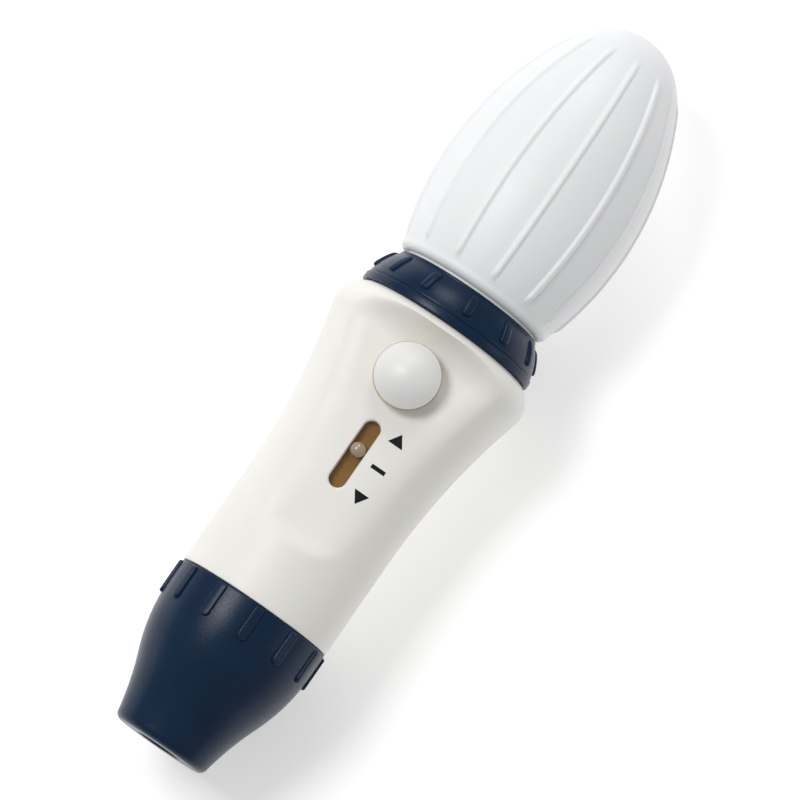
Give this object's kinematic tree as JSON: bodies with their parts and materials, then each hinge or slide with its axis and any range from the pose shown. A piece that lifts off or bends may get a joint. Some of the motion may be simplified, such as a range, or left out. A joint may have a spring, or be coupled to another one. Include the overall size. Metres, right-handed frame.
{
  "type": "pipette controller",
  "caption": "Hand-held pipette controller: ribbed silicone squeeze bulb, slim waisted barrel with a sliding control knob and pointer slot, screw collar and tapered nose cone.",
  "frame": {"origin": "centre of the nose cone's end face, on the controller's axis", "axes": "+Y along the axis from the nose to the bulb, +Z out of the front face with the knob, +X across"},
  "size_m": [0.0518, 0.2, 0.0523],
  "materials": {
    "shell_plastic": "fine matte moulded shell, warm off-white",
    "valve_plastic": "machined light grey valve plastic",
    "screw_steel": "bare stainless steel",
    "spring_steel": "drawn stainless spring wire",
    "seal_rubber": "black nitrile seal",
    "filter_plastic": "natural polypropylene",
    "membrane": "white porous filter membrane",
    "knob_plastic": "satin white button",
    "amber_plastic": "glossy amber brown",
    "clear_bead": "polished clear bead",
    "adapter_silicone": "dark soft silicone",
    "navy_plastic": "satin navy, fine spark texture",
    "bulb_silicone": "smooth white silicone"
  },
  "bodies": {
    "barrel": {"housing": "shell_plastic", "valve_block": "valve_plastic", "block_screw_1": "screw_steel", "block_screw_2": "screw_steel", "block_screw_3": "screw_steel", "seat_plate": "valve_plastic", "plate_o_ring": "seal_rubber", "port_gasket": "seal_rubber", "check_cage": "valve_plastic", "bore_plug": "valve_plastic", "vent_screen": "screw_steel", "filter_case_lower": "filter_plastic", "filter_disc": "membrane", "filter_case_upper": "filter_plastic", "filter_o_ring": "seal_rubber", "spring_lower": "spring_steel", "spring_upper": "spring_steel"},
    "control": {"control_knob": "knob_plastic", "drive_pin": "screw_steel", "slide_carriage": "valve_plastic", "pointer_slide": "amber_plastic", "pointer_bead": "clear_bead", "spool": "valve_plastic", "spool_o_ring_1": "seal_rubber", "spool_o_ring_2": "seal_rubber", "spool_o_ring_3": "seal_rubber", "spool_o_ring_4": "seal_rubber"},
    "exhaust_valve": {"check_disc": "seal_rubber"},
    "adapter": {"pipette_adapter": "adapter_silicone"},
    "nose": {"nose_cone": "navy_plastic"},
    "squeeze_bulb": {"bulb": "bulb_silicone", "neck_ring": "valve_plastic"},
    "collar": {"collar_ring": "navy_plastic", "slip_washer": "filter_plastic"}
  },
  "joints": [
    {"name": "control_slide", "type": "slide", "parent": "barrel", "child": "control", "axis": [0, 1, 0], "range_m": [-0.003, 0.003], "stiffness_N_per_m": 300, "deforming": ["spring_lower", "spring_upper"]},
    {"name": "exhaust_lift", "type": "slide", "parent": "barrel", "child": "exhaust_valve", "axis": [0, -1, 0], "range_m": [0, 0.0012]},
    {"name": "nose_drop", "type": "slide", "parent": "barrel", "child": "adapter", "axis": [0, -1, 0], "range_m": [0, 0.0075]},
    {"name": "nose_unscrew", "type": "hinge", "parent": "adapter", "child": "nose", "pos_m": [0, 0.0386, 0], "axis": [0, -1, 0], "range_deg": [0, 1080]},
    {"name": "bulb_lift", "type": "slide", "parent": "barrel", "child": "squeeze_bulb", "axis": [0, 1, 0], "range_m": [0, 0.005]},
    {"name": "collar_unscrew", "type": "hinge", "parent": "squeeze_bulb", "child": "collar", "pos_m": [0, 0.1161, 0], "axis": [0, 1, 0], "range_deg": [0, 720]}
  ],
  "couplings": [
    {"joint": "nose_unscrew", "follows": "nose_drop", "rad_per_m": 2513.3},
    {"joint": "collar_unscrew", "follows": "bulb_lift", "rad_per_m": 2513.3}
  ]
}
